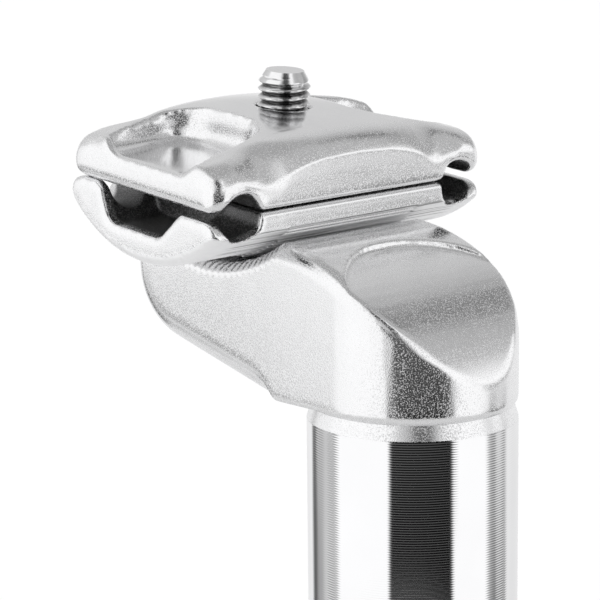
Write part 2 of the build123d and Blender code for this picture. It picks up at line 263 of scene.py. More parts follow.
# Steel of the bolt and the washer
STEEL_SCALE = 1500.0
STEEL_FADE = (0.3, 0.7)
STEEL_TONES = (0.82, 0.94)
STEEL_ROUGHNESS = (0.1, 0.17)
STEEL_HEIGHT = 0.006
# Painted shade in the thread's roots: a dark base colour between the crests, ending below the
# tip's cone
ROOT_SHADE_TONE = 0.1
ROOT_SHADE_FADE = (THREAD_ROOT, THREAD_CREST - 0.04)
ROOT_SHADE_END_FADE = (BOLT_TIP - BOLT_TIP_CONE - 0.4, BOLT_TIP - BOLT_TIP_CONE)

# White floor, in metres; a fill light from all round and a key lamp that makes up the rest on it
FLOOR_SIZE = 8.0
FLOOR_HEIGHT = -0.0005
FLOOR_LEVEL = 1.01
FILL_LEVEL = 0.6
KEY_HEIGHT = 58
KEY_TURN = -20
KEY_SPREAD = 16
SKY_STOPS = ((0.08, 1.0), (0.34, 0.68), (0.7, 0.4), (0.95, 0.33))

# Card on the table, in metres, seen in reflections only
CARD_RADIUS = 0.5
CARD_HEIGHT = -0.0002
CARD_LEVEL = 0.66
CARD_AROUND = 64

# Light tent, in metres, seen in reflections only: (azimuth from the front, brightness) in bands
# that take over from each other at rising elevations
TENT_RADIUS = 0.6
TENT_CENTRE = (-0.01, 0.0, 0.335)
TENT_BOTTOM = -33
TENT_CROWN = 89
TENT_ROWS = 20
TENT_AROUND = 48
TENT_BASE = 0.66
TENT_TABLE = (
    (-180, 0.8), (-110, 0.85), (-97, 0.9), (-93, 0.12), (-85, 0.12), (-81, 0.36), (-71, 0.4),
    (-66, 0.6), (-61, 0.6), (-58, 0.28), (-52, 0.3), (-47, 0.4), (-41, 1.05), (18.5, 1.05),
    (21.5, 0.006), (86.5, 0.003), (89.5, 1.05), (130, 1.05), (134, 0.45), (141, 0.22),
    (160, 0.22), (167, 0.85), (180, 0.8),
)
TENT_LOW = (
    (-180, 0.85), (-97, 0.9), (-93, 0.3), (-84, 0.3), (-82, 0.7), (-62, 0.56), (-51, 0.5),
    (-48, 0.57), (-46.6, 0.72), (-45.5, 1.0), (-43, 1.05), (18.5, 1.05), (22, 0.1), (86, 0.08),
    (90, 1.05), (131, 1.05), (135, 0.6), (142, 0.72), (160, 0.75), (167, 0.9), (180, 0.85),
)
TENT_MID = (
    (-180, 0.85), (-95, 0.9), (-93, 0.5), (-85, 0.5), (-83, 0.9), (-56, 1.0), (-52, 1.05),
    (20, 1.05), (24, 0.1), (90, 0.05), (94, 1.05), (125, 1.05), (132, 0.5), (150, 0.5),
    (162, 0.65), (168, 0.9), (180, 0.85),
)
TENT_HIGH = (
    (-180, 0.43), (-172, 0.47), (-165, 0.55), (-158, 0.6), (-143, 0.64), (-118, 0.66),
    (-100, 0.6), (-60, 0.7), (-50, 1.05), (22, 1.05), (32, 0.62), (42, 0.5), (47, 0.12),
    (65, 0.12), (72, 0.6), (80, 1.05), (139, 1.05), (143.5, 0.98), (146, 0.56), (152, 0.5),
    (158, 0.42), (165, 0.36), (172, 0.34), (180, 0.43),
)
TENT_UPPER = (
    (-180, 0.43), (-172, 0.47), (-165, 0.55), (-158, 0.6), (-143, 0.64), (-118, 0.66),
    (-100, 0.6), (-60, 0.7), (-50, 1.05), (22, 1.05), (32, 0.62), (42, 0.5), (47, 0.12),
    (66, 0.12), (74, 0.6), (82, 1.05), (97, 1.0), (104, 0.62), (112, 0.5), (125, 0.44),
    (150, 0.48), (158, 0.43), (165, 0.36), (172, 0.34), (180, 0.43),
)
TENT_BANDS = (
    (TENT_TABLE, (-32, -29)),
    (TENT_LOW, (-16.5, -13.8)),
    (TENT_MID, (-11.4, -9.2)),
    (TENT_HIGH, (3, 14)),
    (TENT_UPPER, (22.5, 29)),
)
TENT_TOP = 0.38
TENT_TOP_FADE = (50, 66)

# Soft round cards on the tent: azimuth, elevation, inner and outer radius, brightness
TENT_CARDS = (
    (171, 43.5, 2, 9, 0.2),
    (49, 42, 8.5, 13.5, 0.06),
    (68, 39, 8, 13, 0.06),
    (150, 14, 10, 15, 1.05),
    (-57, -27.5, 5.5, 8.5, 0.72),
    (151, -13.5, 6.5, 9.5, 0.72),
)


def add_camera():
    """A long lens, level with the clamp and looking down a little."""
    data = bpy.data.cameras.new("camera")
    data.lens = CAMERA_LENS
    data.sensor_width = CAMERA_SENSOR
    data.clip_start = CAMERA_NEAR * MM
    camera = bpy.data.objects.new("camera", data)
    bpy.context.scene.collection.objects.link(camera)
    turn = Matrix.Rotation(math.radians(CAMERA_YAW), 4, "Z")
    turn @= Matrix.Rotation(math.radians(90 - CAMERA_PITCH), 4, "X")
    turn @= Matrix.Rotation(math.radians(CAMERA_ROLL), 4, "Z")
    camera.matrix_world = Matrix.Translation(CAMERA_PLACE) @ turn
    bpy.context.scene.camera = camera


def new_object(name, verts, faces):
    """A smooth-shaded mesh object from points in metres."""
    mesh = bpy.data.meshes.new(name)
    mesh.from_pydata(verts, [], faces)
    mesh.update()
    for face in mesh.polygons:
        face.use_smooth = True
    made = bpy.data.objects.new(name, mesh)
    bpy.context.scene.collection.objects.link(made)
    return made


def add_piece(name, verts, faces, material, body, node):
    """A piece of the visual model that rides on a body and stands for a CAD node."""
    piece = new_object(name, verts, faces)
    piece.data.materials.append(material)
    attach(piece, body)
    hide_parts(node)
    return piece


# Node trees


def grey(level):
    """A grey with a trace of blue."""
    return (level, level, level * 1.005, 1.0)


class Graph:
    """A short way to write a node tree."""

    def __init__(self, tree):
        self.tree = tree

    def node(self, kind, **values):
        made = self.tree.nodes.new(kind)
        for name, value in values.items():
            setattr(made, name, value)
        return made

    def join(self, source, target):
        self.tree.links.new(source, target)

    def feed(self, socket, value):
        """Link another node's output to a socket, or write a plain value into it."""
        if isinstance(value, bpy.types.NodeSocket):
            self.join(value, socket)
        else:
            socket.default_value = value

    def math(self, operation, *values, clamp=False):
        made = self.node("ShaderNodeMath", operation=operation, use_clamp=clamp)
        for socket, value in zip(made.inputs, values):
            self.feed(socket, value)
        return made.outputs[0]

    def product(self, first, *others):
        for other in others:
            first = self.math("MULTIPLY", first, other)
        return first

    def linear(self, value, start, end):
        """From start to end as a value goes from 0 to 1."""
        return self.math("MULTIPLY_ADD", value, end - start, start)

    def length(self, first, second):
        """Length of a vector with these two parts."""
        squares = self.math("ADD", self.product(first, first), self.product(second, second))
        return self.math("SQRT", squares)

    def between(self, value, fade, start, end):
        """A smooth change from start to end as a value crosses a fade."""
        made = self.node("ShaderNodeMapRange", interpolation_type="SMOOTHSTEP")
        names = ("Value", "From Min", "From Max", "To Min", "To Max")
        for name, given in zip(names, (value, *fade, start, end)):
            self.feed(made.inputs[name], given)
        return made.outputs["Result"]

    def rise(self, value, fade):
        return self.between(value, fade, 0.0, 1.0)

    def fall(self, value, fade):
        return self.between(value, fade, 1.0, 0.0)

    def noise(self, vector, scale, detail=2.0, roughness=0.5):
        made = self.node("ShaderNodeTexNoise")
        self.join(vector, made.inputs["Vector"])
        made.inputs["Scale"].default_value = scale
        made.inputs["Detail"].default_value = detail
        made.inputs["Roughness"].default_value = roughness
        return made.outputs["Fac"]

    def split(self, vector):
        made = self.node("ShaderNodeSeparateXYZ")
        self.join(vector, made.inputs[0])
        return made.outputs

    def dot(self, vector, direction):
        made = self.node("ShaderNodeVectorMath", operation="DOT_PRODUCT")
        self.join(vector, made.inputs[0])
        made.inputs[1].default_value = direction
        return made.outputs["Value"]

    def mix(self, factor, first, second):
        """A colour between two others."""
        made = self.node("ShaderNodeMix", data_type="RGBA")
        self.feed(made.inputs[0], factor)
        self.feed(made.inputs[6], first)
        self.feed(made.inputs[7], second)
        return made.outputs[2]

    def ramp(self, value, stops):
        """Greys between stops, each a position from 0 to 1 and a level."""
        made = self.node("ShaderNodeValToRGB")
        self.join(value, made.inputs["Fac"])
        points = made.color_ramp.elements
        for point, (position, level) in zip(points, (stops[0], stops[-1])):
            point.position = position
            point.color = grey(level)
        for position, level in stops[1:-1]:
            points.new(position).color = grey(level)
        return made.outputs["Color"]

    def bump(self, height, shader):
        """Let a height in millimetres bend a shader's normals."""
        made = self.node("ShaderNodeBump")
        made.inputs["Strength"].default_value = 1.0
        made.inputs["Distance"].default_value = MM
        self.join(height, made.inputs["Height"])
        self.join(made.outputs["Normal"], shader.inputs["Normal"])


# Materials

ClampPlace = namedtuple("ClampPlace", "point along side up facing")


def clamp_place(graph):
    """Where a point lies in the clamp's frame, to either side, and how far it faces up there.

    The point itself stays in metres, in the part's frame.
    """
    source = graph.node("ShaderNodeTexCoord").outputs
    turn = graph.node("ShaderNodeMapping", vector_type="TEXTURE")
    turn.inputs["Location"].default_value = CLAMP_ORIGIN
    turn.inputs["Rotation"].default_value = (0.0, CLAMP_TILT, 0.0)
    turn.inputs["Scale"].default_value = (MM, MM, MM)
    graph.join(source["Object"], turn.inputs["Vector"])
    along, across, up = graph.split(turn.outputs["Vector"])
    axis = (math.sin(CLAMP_TILT), 0.0, math.cos(CLAMP_TILT))
    facing = graph.dot(source["Normal"], axis)
    return ClampPlace(source["Object"], along, graph.math("ABSOLUTE", across), up, facing)


def inside_mouths(graph, here):
    """1 inside the clamp, 0 at its rounded front and rear mouths."""
    return graph.fall(graph.math("ABSOLUTE", here.along), MOUTH_FADE)


def metal(name):
    """A new metal, with its node graph and its shader."""
    material = bpy.data.materials.new(name)
    material.use_nodes = True
    shader = material.node_tree.nodes["Principled BSDF"]
    shader.inputs["Metallic"].default_value = 1.0
    return material, Graph(material.node_tree), shader


def forged_finish(graph, shader, point, grain, unpolished_and_shaded=None, relief=None, dull=None, line=None):
    """Tumbled aluminium, pitted where grain is 1 and plainly polished where it is 0.

    Places in the cavity mask get painted shade, a dark base colour, and are rougher as
    unpolished metal;
    relief is a height in millimetres, dull ones are rougher and a line is a dark mark.
    """
    fine = graph.noise(point, PIT_SCALE, detail=1.0)
    broad = graph.noise(point, SKIN_SCALE, detail=3.0)
    pit = graph.product(graph.fall(fine, PIT_FADE), grain)
    height = graph.product(fine, PIT_HEIGHT, grain)
    if relief is not None:
        height = graph.math("ADD", height, relief)
    tone = graph.mix(broad, *map(grey, SKIN_TONES))
    tone = graph.mix(pit, tone, grey(PIT_TONE))
    rough = graph.linear(broad, SKIN_ROUGHNESS, SKIN_ROUGHNESS + SKIN_UNEVENNESS)
    rough = graph.math("MULTIPLY_ADD", pit, PIT_ROUGHNESS - SKIN_ROUGHNESS, rough)
    if dull is not None:
        rough = graph.math("MULTIPLY_ADD", dull, DULL_ROUGHNESS, rough)
    if line is not None:
        tone = graph.mix(line, tone, grey(LINE_TONE))
    # Painted shade: darken the base colour in the hollows, less over the bright pits, and make
    # them rougher
    if unpolished_and_shaded is not None:
        painted_shade = graph.product(unpolished_and_shaded, graph.linear(pit, PAINTED_SHADE_COVER, PAINTED_SHADE_PIT_COVER))
        tone = graph.mix(painted_shade, tone, grey(PAINTED_SHADE_TONE))
        rough = graph.math("MULTIPLY_ADD", unpolished_and_shaded, UNPOLISHED_ROUGHNESS, rough)
    graph.bump(height, shader)
    graph.join(tone, shader.inputs["Base Color"])
    graph.join(rough, shader.inputs["Roughness"])


def upper_aluminium():
    """Grainy sides, a smooth dome, and rail grooves that are unpolished and darkened with
    painted shade.
    """
    material, graph, shader = metal("upper_aluminium")
    here = clamp_place(graph)
    grain = graph.linear(graph.rise(here.facing, DOME_FACING_FADE), 1.0, DOME_GRAIN)
    from_rail = graph.math("SUBTRACT", here.side, RAIL_SIDE)
    over_rail = graph.math("ADD", here.up, RAIL_DROP)
    groove = graph.fall(graph.length(from_rail, over_rail), RAIL_GROOVE_FADE)
    # Painted shade: the rail grooves inside the mouths get a dark base colour
    unpolished_and_shaded = graph.product(groove, inside_mouths(graph, here))
    forged_finish(graph, shader, here.point, grain, unpolished_and_shaded)
    return material


def lower_aluminium():
    """Grainy outside, streaked underneath, unpolished and darkened with painted shade in the
    grooves and each wing's notch.
    """
    material, graph, shader = metal("lower_aluminium")
    here = clamp_place(graph)
    drop = graph.math("SUBTRACT", CRADLE_CENTRE, here.up)
    notch = graph.fall(graph.length(here.along, drop), NOTCH_FADE)
    rim = graph.fall(here.side, NOTCH_SIDE_FADE)
    # Painted shade: the grooves and each wing's notch inside the mouths get a dark base colour
    unpolished_and_shaded = graph.product(inside_mouths(graph, here), rim, notch)
    under = graph.fall(here.facing, UNDER_FACING_FADE)
    drawn = graph.node("ShaderNodeMapping")
    drawn.inputs["Scale"].default_value = (1.0, STREAK_STRETCH, 1.0)
    graph.join(here.point, drawn.inputs["Vector"])
    streak = graph.noise(drawn.outputs["Vector"], STREAK_SCALE, roughness=0.55)
    relief = graph.product(streak, STREAK_HEIGHT, under)
    middle = graph.fall(here.side, STREAK_SIDE_FADE)
    line = graph.product(graph.fall(streak, STREAK_FADE), under, middle)
    patches = graph.noise(here.point, PATCH_SCALE)
    grain = graph.between(patches, PATCH_FADE, LOWER_GRAIN, 1.0)
    grain = graph.product(grain, graph.linear(under, 1.0, UNDER_GRAIN))
    forged_finish(graph, shader, here.point, grain, unpolished_and_shaded, relief, under, line)
    graph.join(graph.linear(under, 1.0, UNDER_METALLIC), shader.inputs["Metallic"])
    return material


def head_aluminium():
    """The forging's finish on the head, with the seat's teeth running out over its rim."""
    material, graph, shader = metal("head_aluminium")
    here = clamp_place(graph)
    drop = graph.math("SUBTRACT", CRADLE_CENTRE, here.up)
    reach = graph.length(here.along, drop)
    teeth_round = 2 * math.pi * CRADLE_RADIUS / TOOTH_PITCH
    turn = graph.product(graph.math("ARCTAN2", here.along, drop), teeth_round)
    bend = graph.product(graph.math("SUBTRACT", reach, CRADLE_RADIUS), COMB_BEND)
    comb = graph.math("SINE", graph.math("ADD", turn, bend))
    fade = graph.product(graph.fall(reach, COMB_FADE), graph.rise(here.side, COMB_SIDE_FADE))
    relief = graph.product(comb, COMB_HEIGHT, fade)
    patches = graph.noise(here.point, PATCH_SCALE)
    grain = graph.between(patches, PATCH_FADE, HEAD_GRAIN, 1.0)
    forged_finish(graph, shader, here.point, grain, relief=relief)
    return material


def tube_aluminium():
    """Fine turned grooves round the tube, ending below a plain neck."""
    material, graph, shader = metal("tube_aluminium")
    point = graph.node("ShaderNodeTexCoord").outputs["Object"]
    up = graph.math("DIVIDE", graph.split(point)["Z"], MM)
    turned = graph.fall(up, TURNED_END_FADE)
    neck = graph.math("SUBTRACT", 1.0, turned)
    wave = graph.math("SINE", graph.product(up, 2 * math.pi / TURNED_PITCH))
    fine = graph.noise(point, NECK_SCALE, roughness=0.55)
    broad = graph.noise(point, TUBE_SCALE, detail=3.0)
    groove = graph.product(wave, TURNED_HEIGHT, turned)
    grain = graph.product(fine, PIT_HEIGHT, neck)
    graph.bump(graph.math("ADD", groove, grain), shader)
    graph.join(graph.mix(broad, *map(grey, TUBE_TONES)), shader.inputs["Base Color"])
    pit = graph.product(graph.fall(fine, NECK_FADE), neck)
    rough = graph.linear(neck, TUBE_ROUGHNESS, TUBE_ROUGHNESS + NECK_ROUGHNESS)
    rough = graph.math("MULTIPLY_ADD", pit, NECK_PIT_ROUGHNESS, rough)
    graph.join(rough, shader.inputs["Roughness"])
    return material


def bolt_steel():
    """Bright steel, with painted shade darkening the thread's roots."""
    material, graph, shader = metal("bolt_steel")
    here = clamp_place(graph)
    fine = graph.noise(here.point, STEEL_SCALE, detail=3.0, roughness=0.6)
    # Painted shade: the thread's roots get a dark base colour
    root_shade = graph.fall(graph.length(here.along, here.side), ROOT_SHADE_FADE)
    root_shade = graph.product(root_shade, graph.fall(here.up, ROOT_SHADE_END_FADE))
    tone = graph.mix(fine, *map(grey, STEEL_TONES))
    graph.join(graph.mix(root_shade, tone, grey(ROOT_SHADE_TONE)), shader.inputs["Base Color"])
    rough = graph.between(fine, STEEL_FADE, *STEEL_ROUGHNESS)
    graph.join(rough, shader.inputs["Roughness"])
    graph.bump(graph.product(fine, STEEL_HEIGHT), shader)
    return material


# Tools for the forgings


def remeshed(name, voxel, above=None):
    """A dense even copy of a CAD node, or of its part above a height: points, edges, faces."""
    copy = nodes[name].data.copy()
    work = bmesh.new()
    work.from_mesh(copy)
    bmesh.ops.remove_doubles(work, verts=work.verts, dist=1e-6)
    if above is not None:
        cut = bmesh.ops.bisect_plane(
            work,
            geom=work.verts[:] + work.edges[:] + work.faces[:],
            plane_co=(0, 0, above * MM),
            plane_no=(0, 0, 1),
            clear_inner=True,
        )
        rim = [item for item in cut["geom_cut"] if isinstance(item, bmesh.types.BMEdge)]
        bmesh.ops.edgenet_fill(work, edges=rim)
    work.to_mesh(copy)
    work.free()
    source = bpy.data.objects.new(name + "_source", copy)
    bpy.context.scene.collection.objects.link(source)
    remesh = source.modifiers.new("remesh", "REMESH")
    remesh.mode = "VOXEL"
    remesh.voxel_size = voxel * MM
    evaluated = source.evaluated_get(bpy.context.evaluated_depsgraph_get())
    dense = bpy.data.meshes.new_from_object(evaluated)
    verts = np.empty(len(dense.vertices) * 3)
    dense.vertices.foreach_get("co", verts)
    edges = np.empty(len(dense.edges) * 2, dtype=np.int64)
    dense.edges.foreach_get("vertices", edges)
    faces = [tuple(face.vertices) for face in dense.polygons]
    bpy.data.objects.remove(source)
    bpy.data.meshes.remove(dense)
    bpy.data.meshes.remove(copy)
    return verts.reshape(-1, 3), edges.reshape(-1, 2), faces


def relax(verts, edges, weight, rounds):
    """Move each point towards the middle of its neighbours, by its own weight."""
    count = np.bincount(edges.ravel(), minlength=len(verts)).clip(1)
    rate = 0.5 * np.broadcast_to(weight, len(verts))[:, None]
    for _ in range(rounds):
        middle = np.empty_like(verts)
        for axis in range(3):
            total = np.bincount(edges[:, 0], verts[edges[:, 1], axis], len(verts))
            total += np.bincount(edges[:, 1], verts[edges[:, 0], axis], len(verts))
            middle[:, axis] = total / count
        verts = verts + rate * (middle - verts)
    return verts


def rise(values, fade):
    """0 before a fade, 1 after it and a smooth change inside."""
    low, high = fade
    share = np.clip((values - low) / (high - low), 0, 1)
    return share * share * (3 - 2 * share)


def fall(values, fade):
    return 1 - rise(values, fade)


def clamp_matrix():
    return Matrix.Translation(CLAMP_ORIGIN) @ Matrix.Rotation(CLAMP_TILT, 4, "Y")


def to_clamp(verts):
    """Points of the part, in metres, as places in the clamp's frame."""
    matrix = np.array(clamp_matrix().inverted())
    return (verts @ matrix[:3, :3].T + matrix[:3, 3]) / MM


def from_clamp(local):
    matrix = np.array(clamp_matrix())
    return (local * MM) @ matrix[:3, :3].T + matrix[:3, 3]


def cradle_reach(local):
    """Distance from the axis that the cradle rocks about."""
    return np.hypot(local[:, 0], CRADLE_CENTRE - local[:, 2])


def add_forging(name, verts, faces, material, body, node):
    return add_piece(name, verts.tolist(), faces, material, body, node)


# Upper clamp


def dome_height(along, across):
    return DOME_TOP - along**2 / (2 * DOME_ALONG) - across**2 / (2 * DOME_ACROSS)


def round_foot(local, axis, reach, radius, strength):
    """Round the lower corner at both ends of an axis, in place."""
    outward = np.clip((np.abs(local[:, axis]) - reach) / radius + 1, 0, 1)
    downward = np.clip((UPPER_FOOT - local[:, 2]) / radius + 1, 0, 1)
    bent = outward * np.sqrt(1 - downward**2 / 2)
    dropped = downward * np.sqrt(1 - outward**2 / 2)
    target = local.copy()
    target[:, axis] = np.sign(local[:, axis]) * (reach - radius + radius * bent)
    target[:, 2] = UPPER_FOOT + radius - radius * dropped
    corner = strength * ((outward > 0) & (downward > 0))
    local += corner[:, None] * (target - local)


def scoop_plan(local):
    """1 over the two scoops, seen from above."""
    along, side = np.abs(local[:, 0]), np.abs(local[:, 1])
    width = rise(side, SCOOP_INNER_FADE) * fall(side, SCOOP_OUTER_FADE)
    return width * fall(along, SCOOP_LENGTH_FADE)


def steepen_scoop(local):
    """A tighter cove round each scoop's floor and an inner wall that leans back, in place."""
    side, up = np.abs(local[:, 1]), local[:, 2].copy()
    depth = dome_height(local[:, 0], side) - SCOOP_FLOOR
    share = np.clip((up - SCOOP_FLOOR) / depth, 0, 1)
    inside = scoop_plan(local) * rise(up, SCOOP_COVE_FADE)
    lean = SCOOP_LEAN * (1 - share) * fall(side, SCOOP_LEAN_FADE)
    local[:, 1] += np.sign(local[:, 1]) * inside * lean
    local[:, 2] += inside * depth * (share**SCOOP_COVE - share)


def flat_faces(local):
    """Flat front and rear faces under a crest that comes down beside the rails, in place.

    Points near such a face slide along rays from a foot inside the clamp, onto a skin that
    leaves the dome and bends down to the crest. Gives each point's share in that skin and in
    the seam under the crest.
    """
    along, side, up = np.abs(local[:, 0]), np.abs(local[:, 1]), local[:, 2].copy()
    crest = np.interp(side, *zip(*CREST))
    foot = crest - CREST_FOOT
    drop = dome_height(HALF_LENGTH, side) - crest
    power = np.clip(FACE_POWER * (HALF_LENGTH - FACE_START) / drop, *FACE_POWER_LIMITS)
    turn = np.arctan2(up - foot, along - FACE_START)
    low, high = np.zeros(len(local)), np.full(len(local), FACE_REACH)
    for _ in range(FACE_HALVINGS):
        reach = (low + high) / 2
        place = FACE_START + reach * np.cos(turn)
        share = np.clip((place - FACE_START) / (HALF_LENGTH - FACE_START), 0, 1)
        skin_height = dome_height(place, side) - drop * share**power
        inside = (foot + reach * np.sin(turn) <= skin_height) & (place <= HALF_LENGTH)
        low, high = np.where(inside, reach, low), np.where(inside, high, reach)
    change = low - np.hypot(along - FACE_START, up - foot)
    change = np.minimum(change, 0) + fall(side, FACE_FILL_FADE) * np.maximum(change, 0)
    outer = (along > FACE_SKIN_START) | (dome_height(along, side) - up < FACE_SKIN_DEPTH)
    skin = 1.0 * (outer & (along > FACE_START) & (up > foot))
    change *= skin * fall(side, FACE_END_FADE)
    local[:, 0] += np.sign(local[:, 0]) * change * np.cos(turn)
    local[:, 2] += change * np.sin(turn)
    below = np.abs(local[:, 2] - foot + SEAM_DROP)
    return skin, fall(below, SEAM_UP_FADE) * rise(along, SEAM_ALONG_FADE)


def soft_upper(material):
    """Upper clamp with the soft edges of a tumbled forging and round toes outside the rails."""
    verts, edges, faces = remeshed("upper_clamp", CLAMP_VOXEL)
    local = to_clamp(verts)
    round_foot(local, 1, HALF_WIDTH, TOE_RADIUS, 1.0)
    outside = rise(np.abs(local[:, 1]), KNOB_FADE)
    round_foot(local, 0, HALF_LENGTH, KNOB_RADIUS, outside)
    local = relax(local, edges, 1.0, UPPER_ROUNDS)

    edge = rise(np.abs(local[:, 0]), UPPER_EDGE_FADE)
    end = rise(np.abs(local[:, 1]), CLAMP_END_FADE)
    local = relax(local, edges, np.maximum(edge, end), UPPER_EDGE_ROUNDS)

    depth = dome_height(local[:, 0], local[:, 1]) - local[:, 2]
    scoop = rise(depth, SCOOP_DEPTH_FADE) * rise(local[:, 2], SCOOP_UP_FADE)
    local = relax(local, edges, scoop * scoop_plan(local), SCOOP_ROUNDS)
    steepen_scoop(local)

    skin, seam = flat_faces(local)
    local = relax(local, edges, skin, FACE_ROUNDS)
    local = relax(local, edges, seam, SEAM_ROUNDS)

    along, side = np.abs(local[:, 0]), np.abs(local[:, 1])
    valley = rise(side, VALLEY_INNER_FADE) * fall(side, VALLEY_OUTER_FADE)
    valley *= rise(along, VALLEY_ALONG_FADE) * rise(local[:, 2], VALLEY_UP_FADE)
    verts = from_clamp(relax(local, edges, valley, VALLEY_ROUNDS))
    add_forging("upper_forging", verts, faces, material, "top_clamp", "upper_clamp")


# Lower clamp


def cut_last_teeth(local):
    """Carry the teeth on under the front and rear edges, as grooves of one pitch, in place."""
    drop = CRADLE_CENTRE - local[:, 2]
    reach = cradle_reach(local)
    turn = np.degrees(np.arctan2(np.abs(local[:, 0]), drop))
    pitch = math.degrees(TOOTH_PITCH / CRADLE_RADIUS)
    wave = 0.5 + 0.5 * np.cos(2 * math.pi * (turn - LAST_TOOTH_TURN) / pitch)
    start_fade = (LAST_TOOTH_TURN - 0.5 * pitch, LAST_TOOTH_TURN)
    cut = rise(turn, start_fade) * fall(turn, LAST_TOOTH_END_FADE)
    cut *= rise(reach, LAST_TOOTH_SKIN_FADE)
    cut *= fall(np.abs(local[:, 1]), LAST_TOOTH_SIDE_FADE)
    share = 1 - LAST_TOOTH_DEPTH * wave * cut / reach
    local[:, 0] *= share
    local[:, 2] = CRADLE_CENTRE - drop * share


def soft_lower(material):
    """Lower clamp with soft wings and a raised rear lip; the toothed tongue keeps its teeth."""
    verts, edges, faces = remeshed("lower_clamp", CLAMP_VOXEL)
    local = to_clamp(verts)
    wing = rise(np.abs(local[:, 1]), WING_FADE)
    local = relax(local, edges, np.maximum(wing, TONGUE_SHARE), WING_ROUNDS)

    side = np.abs(local[:, 1])
    lip = rise(side, LIP_SIDE_FADE) * rise(-local[:, 0], LIP_REAR_FADE)
    local[:, 2] += LIP_RISE * lip * rise(local[:, 2], LIP_UP_FADE)
    flat = fall(side, FLAT_SIDE_FADE)
    local[:, 2] += FLAT_RISE * flat * rise(local[:, 2], FLAT_UP_FADE)
    local = relax(local, edges, rise(side, CLAMP_END_FADE), WING_END_ROUNDS)

    cut_last_teeth(local)
    add_forging("lower_forging", from_clamp(local), faces, material, "cradle", "lower_clamp")


# Head and tube of the post


def round_rim(verts, edges, faces):
    """Round the rim of the dish where it comes down to the front of the head."""
    quads = np.array(faces)
    first, second, third = (verts[quads[:, corner]] for corner in range(3))
    facing = np.cross(second - first, third - first)
    normals = np.zeros_like(verts)
    for corner in quads.T:
        np.add.at(normals, corner, facing)
    normals /= np.linalg.norm(normals, axis=1).clip(1e-12)[:, None]
    bend = 1 - np.linalg.norm(relax(normals, edges, 1.0, RIM_SPREAD), axis=1)
    ahead, up = verts[:, 0] / MM, verts[:, 2] / MM
    rim = rise(bend, RIM_BEND_FADE) * rise(ahead, RIM_AHEAD_FADE) * rise(up, RIM_UP_FADE)
    return relax(verts, edges, rim, RIM_ROUNDS)


def clear_pocket(local):
    """Give the washer's pocket back the room that the rounding took, in place."""
    along, side = np.abs(local[:, 0]), np.abs(local[:, 1])
    reach = cradle_reach(local)
    pocket = fall(along, POCKET_ALONG_FADE) * fall(side, POCKET_SIDE_FADE)
    room = POCKET_ROOM * pocket * rise(reach, POCKET_DEPTH_FADE)
    local[:, 1] += np.sign(local[:, 1]) * room * rise(side, POCKET_WALL_FADE)
    local[:, 2] += room * rise(along, POCKET_END_FADE) * fall(reach, POCKET_ROOF_FADE)


def soft_head(material):
    """Head of the post with soft forged edges; the toothed seat stays crisp."""
    verts, edges, faces = remeshed("seatpost_body", HEAD_VOXEL, HEAD_BOTTOM)
    dish = rise(verts[:, 0] / MM, DISH_AHEAD_FADE) * rise(verts[:, 2] / MM, DISH_UP_FADE)
    outside_seat = rise(cradle_reach(to_clamp(verts)), SEAT_FADE)
    weight = np.clip(outside_seat - DISH_SHARE * dish, SEAT_SHARE, 1)
    verts = relax(verts, edges, weight, HEAD_ROUNDS)
    local = to_clamp(round_rim(verts, edges, faces))
    clear_pocket(local)
    add_forging("forged_head", from_clamp(local), faces, material, "post", "seatpost_body")


class Turning:
    """Rings of points round the Z axis, and the faces between them."""

    def __init__(self, around):
        self.around = around
        self.verts = []
        self.faces = []

    def ring(self, radius, height):
        """Add a ring, whose radius may be a function of the angle, and give its points."""
        start = len(self.verts)
        for step in range(self.around):
            angle = 2 * math.pi * step / self.around
            reach = radius(angle) if callable(radius) else radius
            self.verts.append((reach * math.cos(angle), reach * math.sin(angle), height))
        return range(start, len(self.verts))

    def skin(self, outline):
        """Add a ring for each radius and height of an outline, and the skin between them."""
        rings = [self.ring(radius, height) for radius, height in outline]
        for low, high in zip(rings, rings[1:]):
            for step in range(self.around):
                after = (step + 1) % self.around
                self.faces.append((low[step], low[after], high[after], high[step]))
        return rings

    def fan(self, ring, height):
        """Close a ring with triangles that meet on the axis."""
        tip = len(self.verts)
        self.verts.append((0.0, 0.0, height))
        for step in range(self.around):
            self.faces.append((ring[step], ring[(step + 1) % self.around], tip))


def turned_tube(material):
    """The tube as one turned profile: chamfered end, outer wall, neck and round-ended bore."""
    wall = TURNED_END - TUBE_CHAMFER
    neck = TUBE_RADIUS - NECK_INSET
    outline = [(BORE_RADIUS, 0.0), (TUBE_RADIUS - TUBE_CHAMFER, 0.0)]
    for row in range(TUBE_ROWS + 1):
        outline.append((TUBE_RADIUS, TUBE_CHAMFER + wall * row / TUBE_ROWS))
    outline += [(neck, TUBE_TOP), (neck, TUBE_TOP + NECK_OVERLAP)]
    bore = [(BORE_RADIUS, 0.0)]
    for row in range(BORE_ROWS):
        angle = math.pi / 2 * row / BORE_ROWS
        height = BORE_END - BORE_RADIUS * (1 - math.sin(angle))
        bore.append((BORE_RADIUS * math.cos(angle), height))
    tube = Turning(TUBE_AROUND)
    tube.fan(tube.skin(outline)[-1], TUBE_TOP + NECK_OVERLAP)
    outside = len(tube.faces)
    tube.fan(tube.skin(bore)[-1], BORE_END)
    inside = [tuple(reversed(face)) for face in tube.faces[outside:]]
    faces = tube.faces[:outside] + inside
    verts = np.array(tube.verts) * MM
    piece = add_forging("turned_tube", verts, faces, material, "post", "seatpost_body")
    work = bmesh.new()
    work.from_mesh(piece.data)
    bmesh.ops.remove_doubles(work, verts=work.verts, dist=1e-7)
    work.to_mesh(piece.data)
    work.free()
    piece.data.set_sharp_from_angle(angle=math.radians(TUBE_SHARP))


# Bolt


def hexagon(angle):
    """Radius of the hex socket's wall."""
    sixth = math.pi / 3
    return HEX_KEY / 2 / math.cos(angle % sixth - sixth / 2)


